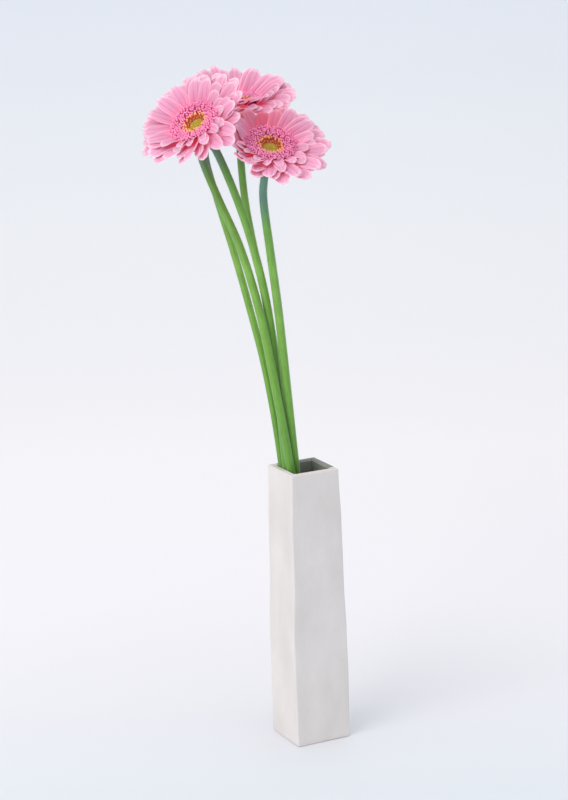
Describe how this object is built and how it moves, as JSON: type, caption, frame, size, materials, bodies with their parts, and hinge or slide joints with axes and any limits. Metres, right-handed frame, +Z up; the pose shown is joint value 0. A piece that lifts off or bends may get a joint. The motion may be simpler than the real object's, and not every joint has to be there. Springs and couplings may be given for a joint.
{
  "type": "gerberas in a vase",
  "caption": "Cut pink gerbera daisies with deep pink floret discs and green stems, standing in water in a tall, narrow, square hand-built ceramic vase.",
  "frame": {"origin": "centre of the flat underside of the vase, on the surface it stands on", "axes": "+Z up. The vase's four sides face +X, -X, +Y and -Y; -Y is its front right side and -X its front left side in the usual view, and the flowers lean towards -X and spread towards +Y"},
  "size_m": [0.1711, 0.2638, 0.625],
  "materials": {
    "ceramic": "matte",
    "water": "gloss",
    "stem": "satin",
    "petal": "matte",
    "floret": "matte",
    "eye": "matte"
  },
  "bodies": {
    "root": {"vase": "ceramic", "water": "water", "front_left_stem": "stem", "front_left_petals": "petal", "front_left_florets": "floret", "front_left_eye": "eye", "front_right_stem": "stem", "front_right_petals": "petal", "front_right_florets": "floret", "front_right_eye": "eye", "top_stem": "stem", "top_petals": "petal", "top_florets": "floret", "top_eye": "eye", "back_left_stem": "stem", "back_left_petals": "petal", "back_left_florets": "floret", "back_left_eye": "eye", "far_back_stem": "stem", "far_back_petals": "petal", "far_back_florets": "floret", "far_back_eye": "eye"}
  },
  "joints": []
}
